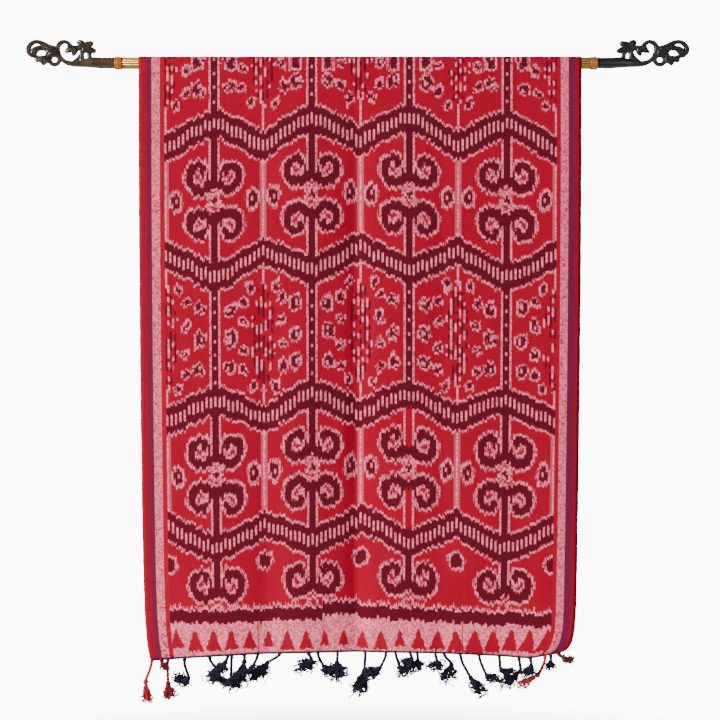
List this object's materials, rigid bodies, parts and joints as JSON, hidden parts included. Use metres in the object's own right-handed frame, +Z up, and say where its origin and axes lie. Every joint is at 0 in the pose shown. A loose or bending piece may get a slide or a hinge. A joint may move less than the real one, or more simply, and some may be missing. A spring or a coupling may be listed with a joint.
{
  "type": "ikat woven cloth on a hanging rod",
  "caption": "Ikat woven cloth folded in half over a reeded rod with carved openwork finials, hanging in two layers with a twined edging and knotted warp tassels.",
  "frame": {"origin": "on the rod's axis, at the middle of the cloth's width", "axes": "+X along the rod, to the right as the cloth is seen from the front; +Y from the front layer to the wall; +Z up"},
  "size_m": [1.3245, 0.0624, 1.322],
  "materials": {
    "cotton_ikat": "matt handwoven cotton, red with maroon, pink and purple",
    "warp_cord": "matt twisted navy warp ends, a few of them red",
    "gilt_rod": "satin golden metal with fine reeds",
    "copper_collar": "satin copper-coloured metal",
    "carved_horn": "polished dark brown horn or cast resin"
  },
  "bodies": {
    "root": {"cloth": "cotton_ikat", "fringe_front": "warp_cord", "fringe_back": "warp_cord", "rod": "gilt_rod", "collar_left": "copper_collar", "collar_right": "copper_collar", "finial_left": "carved_horn", "finial_right": "carved_horn"}
  },
  "joints": []
}
